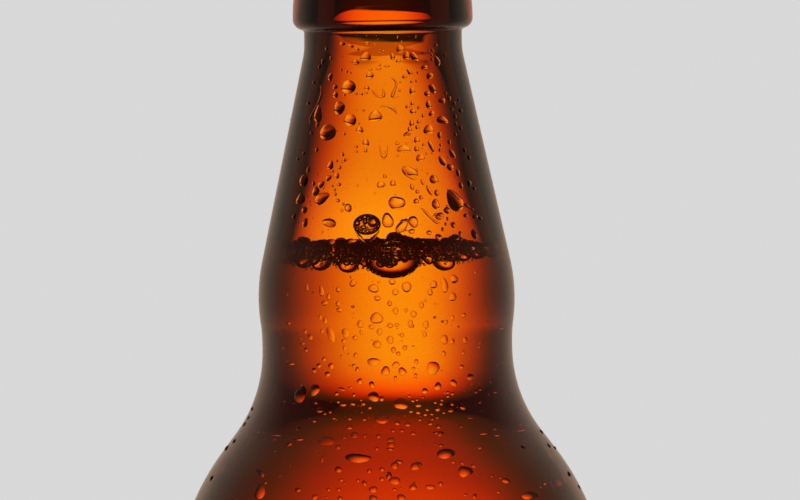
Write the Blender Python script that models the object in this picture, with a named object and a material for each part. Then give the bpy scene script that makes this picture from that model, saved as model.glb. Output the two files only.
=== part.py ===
"""A filled half-litre beer bottle in amber glass, shut with a crown cap.

Four pieces, each its own object: the blown glass bottle, the beer, the layer of bubbles afloat on it
and the crimped crown cap. Metres, +Z up, origin at the middle of the surface that the bottle stands on.
The bottle, the beer and the cap's plain parts are turned outlines, made by Screw modifiers from chains
of straight runs and arcs that meet without a corner.
"""

from math import acos, asin, ceil, cos, degrees, pi, radians, sin, tan

import bmesh
import bpy
import numpy as np
from mathutils import Matrix, Vector

MM = 0.001

# Driving dimensions, in millimetres and degrees
HEIGHT = 244.0                 # from the standing surface to the rim, without the cap
BODY_D = 69.6
NECK_D = 25.06                 # just under the finish
BULGE_D = 40.76                # the swelling at the foot of the neck
WAIST_D = 39.78                # the slight waist between that swelling and the shoulder
CONE_ANGLE = 12.2              # half angle of the neck's cone
SHOULDER_ANGLE = 37.0          # steepest slope of the shoulder, from vertical
COLLAR_LENGTH = 2.05           # straight neck under the finish
WAIST_LENGTH = 1.2
NECK_FLARE_R = 12.0            # where the collar opens into the cone
BULGE_R = 28.0
WAIST_R = 22.0
SHOULDER_R = 41.0

FINISH_HEIGHT = 18.0           # from the rim to the underside of the carrying ring
BORE_D = 16.8
RIM_ROUND = 1.1
BEAD_R = 3.0                   # the rim's wide outer round, down to the locking bead
BEAD_FLAT = 0.7
BEAD_UNDER_R = 0.85            # the two arcs from the bead in to the groove
BEAD_UNDER_TURN = 62.0
LOCKING_D = 26.2               # the bead that the cap's skirt is crimped under
RING_D = 28.6                  # the carrying ring
RING_SIDE = 3.3                # height of its side, between the rounds above and below
RING_LEAN = 1.6                # degrees that the side leans in towards its top
RING_ROUND = 2.0               # its lower edge

HEEL_R = 6.5                   # round between the body and the standing ring
STANDING_WIDTH = 3.2           # flat ring that the bottle stands on
PUSH_UP = 4.6                  # how far the middle of the base is raised
PUSH_UP_EDGE_R = 2.2
PUSH_UP_TURN = 28.0            # degrees that the edge turns up before the dome
BASE_THICKNESS = 4.4
FOOT_R = 9.0                   # round between the inner wall and the floor
FLOOR_DIP = 1.1                # the floor's edge lies this far below its middle
BORE_FOOT = 5.0                # the bore keeps its width down to this far above the ring's underside
NECK_WALL = 3.3
BODY_WALL = 2.75

FILL_DEPTH = 38.0              # from the carrying ring's underside to the beer under the bubbles
FIT_GAP = 0.3                  # between any two of the pieces
FOAM_THICKNESS = 1.9           # the close layer under the larger bubbles

CAP_D = 29.0                   # over the flutes at the skirt's edge
CAP_HEIGHT = 6.0
CAP_SHEET = 0.3
CAP_FLUTES = 21
CAP_FLUTE_DEPTH = 0.9
CAP_EDGE_R = 1.9
CAP_CROWN = 0.25               # rise of the panel's middle
CAP_PANEL_SLOPE = 1.3          # degrees that the panel falls towards its shoulder
CAP_FLARE = 20.0               # degrees that the skirt opens below the shoulder
CAP_FLARE_LENGTH = 1.0
CAP_SKIRT_R = 5.0              # where the crimp turns the skirt upright again

SEGMENTS = 40                  # facets round the bottle and the beer
FLUTE_STEPS = 4                # facets round each flute of the cap

SEED = 7
RING_BUBBLES = 18              # along the wall
INNER_BUBBLES = 6              # over the rest of the surface
FRONT = -90.0                  # degrees: the side with the largest bubble
LARGE_BUBBLE_R = 3.3

# Worked out from these
RING_UNDERSIDE = HEIGHT - FINISH_HEIGHT
BULGE_HEIGHT = RING_UNDERSIDE - 40.0
THINNING = 45.0                # height over which the wall thins, from the bulge down
BEER_LEVEL = RING_UNDERSIDE - FILL_DEPTH


class Outline:
    """A half section drawn downwards as straight runs and arcs, each starting the way the last one ended.

    Points are (radius, height). The heading is the angle from straight down, positive outwards.
    """

    def __init__(self, radius, height, heading=0.0):
        self.points = [(radius, height)]
        self.heading = heading

    @property
    def end(self):
        return self.points[-1]

    def run(self, length):
        radius, height = self.end
        a = radians(self.heading)
        self.points.append((radius + length * sin(a), height - length * cos(a)))
        return self

    def arc(self, arc_radius, turn, step):
        """Turns by turn degrees, outwards if positive, with a point about every step degrees."""
        count = max(1, ceil(abs(turn) / step))
        radius, height = self.end
        start, side = radians(self.heading), arc_radius if turn > 0 else -arc_radius
        for k in range(1, count + 1):
            a = start + radians(turn) * k / count
            self.points.append((radius + side * (cos(start) - cos(a)), height - side * (sin(a) - sin(start))))
        self.heading += turn
        return self


def neck_and_body(coarse=1.0):
    """The glass from the carrying ring's underside to the heel: collar, cone, bulge, waist, shoulder, body.

    coarse spreads the points of its arcs further apart.
    """
    line = Outline(NECK_D / 2, RING_UNDERSIDE)
    line.run(COLLAR_LENGTH).arc(NECK_FLARE_R, CONE_ANGLE, 6.5 * coarse)
    # The cone ends where the bulge's arc, turned back upright, would stand at the bulge's radius.
    cone_foot = BULGE_D / 2 - BULGE_R * (1 - cos(radians(CONE_ANGLE)))
    line.run((cone_foot - line.end[0]) / sin(radians(CONE_ANGLE)))
    pinch = degrees(acos(1 - (BULGE_D - WAIST_D) / 2 / (BULGE_R + WAIST_R)))
    line.arc(BULGE_R, -CONE_ANGLE, 6.2 * coarse)
    line.arc(BULGE_R, -pinch, 6 * coarse).arc(WAIST_R, pinch, 6 * coarse)
    line.run(WAIST_LENGTH).arc(WAIST_R, SHOULDER_ANGLE, 7.5 * coarse)
    shoulder_top = BODY_D / 2 - SHOULDER_R * (1 - cos(radians(SHOULDER_ANGLE)))
    line.run((shoulder_top - line.end[0]) / sin(radians(SHOULDER_ANGLE)))
    line.arc(SHOULDER_R, -SHOULDER_ANGLE, 6.2 * coarse)
    line.run(line.end[1] - HEEL_R)
    line.arc(HEEL_R, -90, 18)
    return line


def finish():
    """The mouth from its inner edge over the rim, the locking bead and the groove to the carrying ring's underside."""
    line = Outline(BORE_D / 2, HEIGHT - RIM_ROUND, heading=180)
    line.arc(RIM_ROUND, -90, 45)
    line.run(LOCKING_D / 2 - BEAD_R - line.end[0]).arc(BEAD_R, -90, 22.5)
    line.run(BEAD_FLAT).arc(BEAD_UNDER_R, -BEAD_UNDER_TURN, 31).arc(BEAD_UNDER_R, BEAD_UNDER_TURN, 31)
    # An upright groove, then one arc out and one down onto the ring's side, both of the same radius.
    lean = radians(RING_LEAN)
    out = RING_D / 2 - RING_SIDE * tan(lean) - line.end[0]
    shoulder = out / (1 + cos(lean) - 2 * sin(lean))
    side_top = RING_UNDERSIDE + RING_ROUND * (1 + sin(lean)) + RING_SIDE
    line.run(line.end[1] - side_top - shoulder * (2 * cos(lean) - sin(lean)))
    line.arc(shoulder, 90 - RING_LEAN, 45).arc(shoulder, 2 * RING_LEAN - 90, 30)
    line.run(RING_SIDE / cos(lean))
    # The lower round stops where it meets the neck.
    meets_neck = degrees(acos((NECK_D / 2 - RING_D / 2 + RING_ROUND) / RING_ROUND))
    line.arc(RING_ROUND, -meets_neck - RING_LEAN, 22.5)
    return line


def standing_end(outer):
    """The base from the heel to the axis: the flat standing ring, then the raised middle."""
    line = Outline(*outer.end, heading=-90)
    line.run(STANDING_WIDTH).arc(PUSH_UP_EDGE_R, -PUSH_UP_TURN, 14)
    return line.points + dome(line.end, PUSH_UP)


def dome(edge, middle):
    """From an edge point to the axis at the height middle, rising as a quarter sine."""
    radius, height = edge
    return [(radius * (1 - t), height + (middle - height) * sin(pi / 2 * t)) for t in (0.3, 0.65, 1.0)]


def wall_at(height):
    """Wall thickness: NECK_WALL down to the bulge, easing to BODY_WALL where the shoulder ends."""
    t = np.clip((BULGE_HEIGHT - height) / THINNING, 0.0, 1.0)
    return NECK_WALL + (BODY_WALL - NECK_WALL) * t * t * (3 - 2 * t)


def inset(points, distance):
    """The points moved inwards, square to the line, by distance(height) at each."""
    p = np.array(points)
    along = np.gradient(p, axis=0)
    along /= np.linalg.norm(along, axis=1)[:, None]
    inward = np.stack([along[:, 1], -along[:, 0]], axis=1)
    return p + inward * np.array([distance(height) for height in p[:, 1]])[:, None]


def cavity():
    """The bottle's inside, from the bore's top edge to the axis: the outer line moved in by the wall."""
    bore = [(BORE_D / 2, HEIGHT - RIM_ROUND), (BORE_D / 2, RING_UNDERSIDE + BORE_FOOT)]
    floor = PUSH_UP + BASE_THICKNESS
    foot_turn = 82.0
    foot_top = floor - FLOOR_DIP + FOOT_R * sin(radians(foot_turn))
    outer = [p for p in neck_and_body(1.5).points if p[1] > foot_top]
    wall = [tuple(p) for p in inset(outer, wall_at)]
    foot = Outline(BODY_D / 2 - BODY_WALL, foot_top).arc(FOOT_R, -foot_turn, 20.5)
    return bore + wall[1:] + foot.points + dome(foot.end, floor)


def cavity_below(height, gap):
    """What the drink fills: the cavity's outline up to a height, drawn in by a gap, from axis to axis."""
    drawn = inset(cavity(), lambda _: gap)
    drawn[-1, 0] = 0.0
    top_r = float(np.interp(-height, -drawn[:, 1], drawn[:, 0]))
    return [(0.0, height), (top_r, height)] + [tuple(p) for p in drawn if p[1] < height - 0.5]


def material(name, colour, roughness, metallic=0.0, transmission=0.0, ior=1.5):
    made = bpy.data.materials.new(name)
    made.use_nodes = True
    shader = made.node_tree.nodes["Principled BSDF"]
    shader.inputs["Base Color"].default_value = (*colour, 1.0)
    shader.inputs["Roughness"].default_value = roughness
    shader.inputs["Metallic"].default_value = metallic
    shader.inputs["Transmission Weight"].default_value = transmission
    shader.inputs["IOR"].default_value = ior
    made.diffuse_color = (*colour, 1.0)
    return made


def turned(name, outline, made_of):
    """An object turned about Z from an outline of (radius, height) in millimetres."""
    mesh = bpy.data.meshes.new(name)
    corners = [(r * MM, 0.0, z * MM) for r, z in outline]
    mesh.from_pydata(corners, [(k, k + 1) for k in range(len(corners) - 1)], [])
    mesh.materials.append(made_of)
    piece = bpy.data.objects.new(name, mesh)
    bpy.context.collection.objects.link(piece)
    screw = piece.modifiers.new("Turn", "SCREW")
    screw.steps = screw.render_steps = SEGMENTS
    screw.use_merge_vertices = True
    screw.merge_threshold = 0.00001
    screw.use_smooth_shade = True
    return piece


def bottle():
    """Glass: up the inside from the axis, over the mouth, down the outside and in to the axis."""
    inside = cavity()[::-1]
    outside = neck_and_body()
    line = inside[:-1] + finish().points + outside.points[1:] + standing_end(outside)[1:]
    return turned("bottle", line, material("amber glass", (0.30, 0.085, 0.008), 0.04, 0.0, 1.0, 1.52))


def beer():
    return turned(
        "beer", cavity_below(BEER_LEVEL, FIT_GAP), material("beer", (0.86, 0.42, 0.06), 0.02, 0.0, 1.0, 1.34)
    )


def bubble(place, radius, squash, rounds=1):
    """A closed ball, flattened by squash, for the foam to be fused from."""
    body = bmesh.new()
    shape = Matrix.Translation(place) @ Matrix.Diagonal((radius, radius, radius * squash, 1.0))
    bmesh.ops.create_icosphere(body, subdivisions=rounds + 1, radius=1.0, matrix=shape)
    mesh = bpy.data.meshes.new("bubble")
    body.to_mesh(mesh)
    body.free()
    return bpy.data.objects.new("bubble", mesh)


def foam():
    """A thin disc afloat on the beer, with bubbles fused on: a close row at the wall, fewer within.

    Bubbles stand on the disc's underside, so that the larger ones rise higher, and none passes the wall.
    """
    rng = np.random.default_rng(SEED)
    floor = BEER_LEVEL + FIT_GAP
    line = np.array(cavity())
    wall_r = float(np.interp(-floor - FOAM_THICKNESS, -line[:, 1], line[:, 0])) - FIT_GAP
    disc = turned("foam", [(0, floor + FOAM_THICKNESS), (wall_r, floor + FOAM_THICKNESS),
                           (wall_r, floor), (0, floor)],
                  material("foam", (0.93, 0.72, 0.38), 0.25, 0.0, 0.6, 1.2))
    balls = bpy.data.collections.new("bubbles to fuse")

    def add(turn, distance, radius, squash, rounds=1):
        a = radians(turn)
        place = Vector((distance * cos(a), distance * sin(a), floor + radius * squash + 0.05))
        balls.objects.link(bubble(place * MM, radius * MM, squash, rounds))

    clear = wall_r - 0.15
    add(FRONT + 4.0, clear - LARGE_BUBBLE_R, LARGE_BUBBLE_R, 0.72, 2)
    free = 360.0 - 26.0
    for k in range(RING_BUBBLES):
        radius = rng.uniform(1.25, 2.3)
        turn = FRONT + 4.0 + 13.0 + free * (k + 0.5 + rng.uniform(-0.25, 0.25)) / RING_BUBBLES
        add(turn, clear - radius, radius, rng.uniform(0.75, 0.95))
    for k in range(INNER_BUBBLES):
        radius = rng.uniform(1.2, 2.2)
        turn = 360.0 * (k * 0.382 + 0.1)
        add(turn, (clear - 6.0) * ((k + 0.5) / INNER_BUBBLES) ** 0.5, radius, rng.uniform(0.7, 0.9))

    fuse = disc.modifiers.new("Fuse", "BOOLEAN")
    fuse.operation = "UNION"
    fuse.operand_type = "COLLECTION"
    fuse.collection = balls
    bpy.context.scene.collection.children.link(balls)
    graph = bpy.context.evaluated_depsgraph_get()
    fused = bpy.data.meshes.new_from_object(disc.evaluated_get(graph))
    disc.modifiers.clear()
    disc.data = fused
    for ball in list(balls.objects):
        bpy.data.objects.remove(ball, do_unlink=True)
    bpy.data.collections.remove(balls)
    return disc


def crown_cap():
    """Sheet metal: a slightly domed panel, a round shoulder and a skirt whose flutes deepen to its edge.

    Each row of points is a ring whose radius swings by the flute depth, CAP_FLUTES times round.
    """
    top = HEIGHT + FIT_GAP + CAP_SHEET
    hem_r = (CAP_D - CAP_FLUTE_DEPTH) / 2
    line = Outline(0.0, top + CAP_CROWN, heading=90.0 - CAP_PANEL_SLOPE)
    flare_rise = CAP_EDGE_R * (cos(radians(CAP_FLARE)) - cos(radians(line.heading)))
    flare_in = CAP_SKIRT_R * (1 - cos(radians(CAP_FLARE)))
    panel_r = hem_r - flare_rise - CAP_FLARE_LENGTH * sin(radians(CAP_FLARE)) - flare_in
    line.run(panel_r * 0.6).run(panel_r * 0.4)
    line.arc(CAP_EDGE_R, CAP_FLARE - line.heading, 24).run(CAP_FLARE_LENGTH)
    line.arc(CAP_SKIRT_R, -CAP_FLARE, 20)
    line.run(line.end[1] - (top - CAP_HEIGHT))
    outer = line.points
    inner = [tuple(p) for p in inset(outer, lambda height: CAP_SHEET)]
    inner = inner[:1] + inner[2:4] + inner[5:]
    around = CAP_FLUTES * FLUTE_STEPS
    body = bmesh.new()

    def ring(radius, height):
        """A ring of corners, fluted by how far down the skirt it lies."""
        t = min(1.0, max(0.0, (top - height) / CAP_HEIGHT))
        swing = CAP_FLUTE_DEPTH / 2 * t * (2 - t)
        turns = [2 * pi * k / around for k in range(around)]
        radii = [radius + swing * cos(CAP_FLUTES * a) for a in turns]
        return [body.verts.new((r * cos(a) * MM, r * sin(a) * MM, height * MM)) for r, a in zip(radii, turns)]

    def skin(points):
        """A fan from the middle to the first ring, and faces between neighbouring rings."""
        middle = body.verts.new((0.0, 0.0, points[0][1] * MM))
        rings = [ring(*p) for p in points[1:]]
        for k in range(around):
            n = (k + 1) % around
            body.faces.new((middle, rings[0][k], rings[0][n]))
            for upper, lower in zip(rings, rings[1:]):
                body.faces.new((upper[k], lower[k], lower[n], upper[n]))
        return rings[-1]

    outer_hem, inner_hem = skin(outer), skin(inner)
    for k in range(around):
        n = (k + 1) % around
        body.faces.new((outer_hem[k], inner_hem[k], inner_hem[n], outer_hem[n]))
    bmesh.ops.recalc_face_normals(body, faces=body.faces)
    mesh = bpy.data.meshes.new("crown_cap")
    body.to_mesh(mesh)
    body.free()
    mesh.materials.append(material("lacquered tinplate", (0.62, 0.52, 0.30), 0.28, 1.0))
    mesh.shade_smooth()
    cap = bpy.data.objects.new("crown_cap", mesh)
    bpy.context.collection.objects.link(cap)
    return cap


def main():
    for old in list(bpy.data.objects):
        bpy.data.objects.remove(old, do_unlink=True)
    bottle()
    beer()
    foam()
    crown_cap()


main()
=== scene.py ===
"""A cold half-litre beer bottle in amber glass: glass, beer with its bubbles, crown cap and condensation.

Every surface is worked out with numpy, either as a half outline turned about Z or as a small patch laid on
the turned glass. Lengths are in millimetres until the mesh is made, heights are above the standing surface.
"""

from math import acos, asin, cos, degrees, pi, radians, sin

import bpy
import numpy as np
from mathutils import Matrix, Vector

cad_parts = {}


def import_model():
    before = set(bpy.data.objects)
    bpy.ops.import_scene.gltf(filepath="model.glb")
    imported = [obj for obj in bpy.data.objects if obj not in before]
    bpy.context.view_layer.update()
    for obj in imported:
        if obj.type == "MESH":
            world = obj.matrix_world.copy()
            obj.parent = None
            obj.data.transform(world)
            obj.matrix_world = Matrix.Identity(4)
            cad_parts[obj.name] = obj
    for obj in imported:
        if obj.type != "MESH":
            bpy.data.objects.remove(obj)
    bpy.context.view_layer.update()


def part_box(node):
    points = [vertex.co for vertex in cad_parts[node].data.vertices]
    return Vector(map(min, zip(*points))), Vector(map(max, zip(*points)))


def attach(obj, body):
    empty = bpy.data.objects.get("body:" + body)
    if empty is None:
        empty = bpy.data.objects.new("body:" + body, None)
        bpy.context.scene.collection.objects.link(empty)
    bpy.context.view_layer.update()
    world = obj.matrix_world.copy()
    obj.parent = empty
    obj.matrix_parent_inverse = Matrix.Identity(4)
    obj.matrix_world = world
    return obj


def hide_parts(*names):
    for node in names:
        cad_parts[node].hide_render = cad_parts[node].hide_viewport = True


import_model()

MM = 0.001

# ---------------------------------------------------------------- sizes

BOTTLE_LOW, BOTTLE_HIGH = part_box("bottle")
HEIGHT = round(BOTTLE_HIGH.z / MM, 2)
BODY_D = round((BOTTLE_HIGH.x - BOTTLE_LOW.x) / MM, 2)

NECK_D = 25.06
BULGE_D = 40.76
WAIST_D = 39.78
CONE_ANGLE = 12.2
SHOULDER_ANGLE = 37.0
COLLAR_LENGTH = 2.05
WAIST_LENGTH = 1.2
NECK_FLARE_R = 12.0
BULGE_R = 28.0
WAIST_R = 22.0
SHOULDER_R = 41.0

FINISH_HEIGHT = 18.0
BORE_D = 16.8
RIM_ROUND = 1.1
BEAD_R = 3.0
BEAD_FLAT = 0.7
BEAD_UNDER_R = 0.85
BEAD_UNDER_TURN = 62.0
LOCKING_D = 26.2
RING_D = 28.6
RING_SIDE = 3.3
RING_BELLY_R = 30.0
RING_ROUND = 1.75
RING_FILLET = 0.55             # between the carrying ring and the neck

HEEL_R = 6.5
STANDING_WIDTH = 3.2
PUSH_UP = 4.6
PUSH_UP_EDGE_R = 2.2
PUSH_UP_TURN = 28.0
BASE_THICKNESS = 4.4
FOOT_R = 9.0
FOOT_TURN = 82.0
FLOOR_DIP = 1.1
NECK_WALL = 3.3
BODY_WALL = 2.75

RING_UNDERSIDE = HEIGHT - FINISH_HEIGHT
BORE_FOOT = RING_UNDERSIDE + 5.0
THROAT_FOOT = RING_UNDERSIDE + 0.8
BULGE_HEIGHT = RING_UNDERSIDE - 40.0
THINNING = 45.0                # below the bulge, the stretch over which the wall thins
LIQUID_TOP = RING_UNDERSIDE - 35.1
INTO_WALL = 0.12               # how far the beer reaches into the glass, so that no air shows between
AROUND = 206                   # columns of faces round the glass
SEED = 11


# ---------------------------------------------------------------- outlines


class Outline:
    """A half section drawn downwards as straight runs and arcs that meet without a corner.

    Points are (radius, height). The heading is the angle from straight down, positive outwards.
    """

    def __init__(self, radius, height, heading=0.0):
        self.parts = [np.array([[radius, height]], float)]
        self.heading = heading

    @property
    def end(self):
        return self.parts[-1][-1]

    @property
    def points(self):
        return np.concatenate(self.parts)

    def run(self, length, step=1.4):
        """Straight on: the end plus t times the heading's direction."""
        a = radians(self.heading)
        t = np.linspace(0, length, max(2, int(length / step) + 1))[1:]
        self.parts.append(self.end + np.outer(t, (sin(a), -cos(a))))
        return self

    def arc(self, radius, turn, step=0.8):
        """Radius and height change by the arc radius times the change of the heading's cosine and sine."""
        count = max(4, int(abs(radians(turn)) * radius / step))
        start = radians(self.heading)
        a = start + radians(turn) * np.linspace(0, 1, count + 1)[1:]
        side = radius if turn > 0 else -radius
        way = np.stack([cos(start) - np.cos(a), sin(start) - np.sin(a)], 1)
        self.parts.append(self.end + side * way)
        self.heading += turn
        return self


def neck_and_body():
    """The glass from the carrying ring down to the heel: collar, cone, bulge, waist, shoulder, body."""
    line = Outline(NECK_D / 2, RING_UNDERSIDE)
    line.run(COLLAR_LENGTH, 0.5).arc(NECK_FLARE_R, CONE_ANGLE, 0.5)
    cone_foot = BULGE_D / 2 - BULGE_R * (1 - cos(radians(CONE_ANGLE)))
    line.run((cone_foot - line.end[0]) / sin(radians(CONE_ANGLE)), 1.2)
    pinch = degrees(acos(1 - (BULGE_D - WAIST_D) / 2 / (BULGE_R + WAIST_R)))
    line.arc(BULGE_R, -CONE_ANGLE).arc(BULGE_R, -pinch).arc(WAIST_R, pinch)
    line.run(WAIST_LENGTH, 0.6).arc(WAIST_R, SHOULDER_ANGLE)
    shoulder_top = BODY_D / 2 - SHOULDER_R * (1 - cos(radians(SHOULDER_ANGLE)))
    line.run((shoulder_top - line.end[0]) / sin(radians(SHOULDER_ANGLE)), 0.9)
    line.arc(SHOULDER_R, -SHOULDER_ANGLE, 1.1)
    line.run(line.end[1] - HEEL_R, 2.2)
    line.arc(HEEL_R, -90, 0.7)
    return line


def finish():
    """The mouth: inner edge, rim, locking bead, groove, carrying ring."""
    line = Outline(BORE_D / 2, HEIGHT - RIM_ROUND, heading=180)
    line.arc(RIM_ROUND, -90, 0.25)
    line.run(LOCKING_D / 2 - BEAD_R - line.end[0], 0.3).arc(BEAD_R, -90, 0.35)
    line.run(BEAD_FLAT, 0.4).arc(BEAD_UNDER_R, -BEAD_UNDER_TURN, 0.2).arc(BEAD_UNDER_R, BEAD_UNDER_TURN, 0.2)
    belly = degrees(asin(RING_SIDE / RING_BELLY_R))
    c, d = cos(radians(belly)), sin(radians(belly))
    out = RING_D / 2 - RING_BELLY_R * (1 - c) - line.end[0]
    shoulder = out / (1 + c - 2 * d)
    side_top = RING_UNDERSIDE + RING_ROUND + RING_SIDE
    line.run(line.end[1] - side_top - shoulder * (2 * c - d), 0.8)
    line.arc(shoulder, 90 - belly, 0.25).arc(shoulder, 2 * belly - 90, 0.2)
    line.arc(RING_BELLY_R, -belly, 0.4)
    meets_neck = degrees(acos(1 - (RING_D - NECK_D) / 2 / (RING_ROUND + RING_FILLET)))
    line.arc(RING_ROUND, -meets_neck, 0.15).arc(RING_FILLET, meets_neck, 0.08)
    return line


def smooth(t):
    """From 0 to 1 with level ends: t squared times (3 - 2 t)."""
    return t * t * (3 - 2 * t)


def wall_at(height):
    """The wall's thickness: the neck's down to the bulge, then smoothly on to the body's."""
    return NECK_WALL + (BODY_WALL - NECK_WALL) * smooth(np.clip((BULGE_HEIGHT - height) / THINNING, 0.0, 1.0))


def inset(points, distance):
    """The line moved square to itself, towards its inner side, by distance at each point."""
    along = np.gradient(points, axis=0)
    along /= np.linalg.norm(along, axis=1)[:, None]
    return points + np.stack([along[:, 1], -along[:, 0]], 1) * np.reshape(distance, (-1, 1))


def dome(edge, middle, count):
    """From an edge point to the axis: height rises as a quarter sine of the way in."""
    t = np.linspace(0, 1, count + 1)[1:]
    return np.stack([edge[0] * (1 - t), edge[1] + (middle - edge[1]) * np.sin(pi / 2 * t)], 1)


def cavity():
    """The inside, from the bore's top edge to the axis: a straight bore, a throat, the outer line moved in.

    The throat widens smoothly from the bore to the wall, and a foot's arc and a low dome close it below.
    """
    floor = PUSH_UP + BASE_THICKNESS
    foot_top = floor - FLOOR_DIP + FOOT_R * sin(radians(FOOT_TURN))
    outer = neck_and_body().points
    outer = outer[outer[:, 1] > foot_top]
    wall = inset(outer, wall_at(outer[:, 1]))
    wall = wall[wall[:, 1] < THROAT_FOOT]
    bore = np.stack([np.full(7, BORE_D / 2), np.linspace(HEIGHT - RIM_ROUND, BORE_FOOT, 7)], 1)
    t = np.linspace(0, 1, 24)[1:-1, None]
    throat = bore[-1] + (wall[0] - bore[-1]) * np.hstack([smooth(t), t])
    foot = Outline(BODY_D / 2 - BODY_WALL, foot_top).arc(FOOT_R, -FOOT_TURN, 0.9)
    return np.concatenate([bore, throat, wall, foot.points, dome(foot.end, floor, 10)])


def glass_outside():
    """The mouth, the neck and body under it, the ring it stands on and the raised base, down to the axis."""
    body, mouth = neck_and_body(), finish().points
    base = Outline(*body.end, heading=-90)
    base.run(STANDING_WIDTH, 0.8).arc(PUSH_UP_EDGE_R, -PUSH_UP_TURN, 0.2)
    below = body.points[body.points[:, 1] < mouth[-1, 1] - 0.1]
    return np.concatenate([mouth, below, base.points[1:], dome(base.end, PUSH_UP, 10)])


# ---------------------------------------------------------------- meshes


def piece(name, points, faces, made_of, slot=None, replaces=(), crease=None):
    """An object from points in millimetres and a list of index arrays, one for each count of corners.

    crease marks points by True: an edge between two of them stays sharp.
    """
    mesh = bpy.data.meshes.new(name)
    points = np.asarray(points, np.float32) * MM
    loops = np.concatenate([np.ravel(f) for f in faces]).astype(np.int32)
    counts = np.concatenate([np.full(len(f), f.shape[1]) for f in faces])
    starts = np.concatenate([[0], np.cumsum(counts)[:-1]]).astype(np.int32)
    mesh.vertices.add(len(points))
    mesh.vertices.foreach_set("co", points.ravel())
    mesh.loops.add(len(loops))
    mesh.loops.foreach_set("vertex_index", loops)
    mesh.polygons.add(len(starts))
    mesh.polygons.foreach_set("loop_start", starts)
    mesh.polygons.foreach_set("use_smooth", np.full(len(starts), True))
    mesh.update(calc_edges=True)
    if crease is not None:
        ends = np.empty(len(mesh.edges) * 2, np.int32)
        mesh.edges.foreach_get("vertices", ends)
        sharp = crease[ends.reshape(-1, 2)].all(1)
        mesh.attributes.new("sharp_edge", "BOOLEAN", "EDGE").data.foreach_set("value", sharp)
    mesh.materials.append(made_of)
    made = bpy.data.objects.new(name, mesh)
    bpy.context.collection.objects.link(made)
    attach(made, "root")
    if replaces:
        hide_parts(*replaces)


def closed_grid(rows, columns, inwards=False):
    """Quads between neighbouring rows, which close on themselves, and a fan from each end row to a point.

    The two points come after the grid's own. The faces look outwards where the rows follow each other
    downwards and run anticlockwise as seen from above, and with inwards the other way.
    """
    j = np.arange(columns)
    n = np.roll(j, -1)
    above = (np.arange(rows - 1) * columns)[:, None]
    below = above + columns
    quads = np.stack([below + j, below + n, above + n, above + j], -1).reshape(-1, 4)
    last, middle = (rows - 1) * columns, np.full(columns, rows * columns)
    caps = np.concatenate([np.stack([middle, j, n], 1), np.stack([middle + 1, last + n, last + j], 1)])
    return [quads[:, ::-1], caps[:, ::-1]] if inwards else [quads, caps]


def turned(outline, around=AROUND, sway=None, lift=None):
    """Points and faces of an outline of (radius, height), from axis to axis, turned about Z.

    A point of the grid is (radius cos turn, radius sin turn, height). sway(turn, height, row) adds to the
    radius and lift(turn, radius, row) to the height. The outline's outer side comes last, downwards.
    """
    line = outline[1:-1]
    turn = np.linspace(0, 2 * pi, around, endpoint=False)[None, :]
    radius = np.repeat(line[:, :1], around, 1)
    height = np.repeat(line[:, 1:], around, 1)
    if sway is not None:
        radius = radius + sway(turn, height, np.arange(len(line))[:, None])
    if lift is not None:
        height = height + lift(turn, radius, np.arange(len(line))[:, None])
    ring = np.stack([radius * np.cos(turn), radius * np.sin(turn), height], -1).reshape(-1, 3)
    ends = np.array([[0, 0, outline[0, 1]], [0, 0, outline[-1, 1]]])
    return np.concatenate([ring, ends]), closed_grid(len(line), around)


def unit_ball(rows, columns):
    """A sphere's points, (sin a cos b, sin a sin b, cos a) over a grid of a and b, and then its two poles."""
    a = np.linspace(0, pi, rows + 1)[1:-1]
    b = np.linspace(0, 2 * pi, columns, endpoint=False)
    shell = np.stack([np.outer(np.sin(a), np.cos(b)), np.outer(np.sin(a), np.sin(b)),
                      np.outer(np.cos(a), np.ones(columns))], -1).reshape(-1, 3)
    return np.concatenate([shell, [[0, 0, 1], [0, 0, -1]]])


def repeated(quads, triangles, corners, count):
    """The faces of count copies of a shape with this many corners."""
    shift = (np.arange(count) * corners)[:, None, None]
    return [(quads[None] + shift).reshape(-1, 4), (triangles[None] + shift).reshape(-1, 3)]


def joined(*parts):
    """Several (points, faces) as one, the later ones' indices moved on."""
    points, quads, triangles, count = [], [], [], 0
    for p, (q, t) in parts:
        points.append(p)
        quads.append(q + count)
        triangles.append(t + count)
        count += len(p)
    return np.concatenate(points), [np.concatenate(quads), np.concatenate(triangles)]


# ---------------------------------------------------------------- materials


def feed(tree, socket, value):
    """Another node's output, or a plain value, into a socket."""
    if isinstance(value, bpy.types.NodeSocket):
        tree.links.new(value, socket)
    else:
        socket.default_value = value


def put(tree, kind, **values):
    """A node with its settings, and its inputs by socket name with _ for a space or by i and their number."""
    node = tree.nodes.new(kind)
    for key, value in values.items():
        if hasattr(node, key):
            setattr(node, key, value)
        else:
            numbered = key[0] == "i" and key[1:].isdigit()
            feed(tree, node.inputs[int(key[1:]) if numbered else key.replace("_", " ")], value)
    return node


def sums(tree, operation, a, b=0.0, c=0.0):
    """The result of one Math node."""
    return put(tree, "ShaderNodeMath", operation=operation, i0=a, i1=b, i2=c).outputs[0]


def times(tree, first, *others):
    """A product, one Math node for each further factor."""
    for other in others:
        first = sums(tree, "MULTIPLY", first, other)
    return first


def minus(tree, a, b):
    """a less b."""
    return sums(tree, "SUBTRACT", a, b)


def eased(tree, value, low, high, out_low=0.0, out_high=1.0):
    """A smooth step of the value, from out_low at low to out_high at high."""
    return put(tree, "ShaderNodeMapRange", interpolation_type="SMOOTHSTEP", Value=value, From_Min=low,
               From_Max=high, To_Min=out_low, To_Max=out_high).outputs[0]


def choose(tree, factor, a, b):
    """The colour a where the factor is 0 and b where it is 1."""
    return put(tree, "ShaderNodeMix", data_type="RGBA", i0=factor, i6=a, i7=b).outputs[2]


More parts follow.
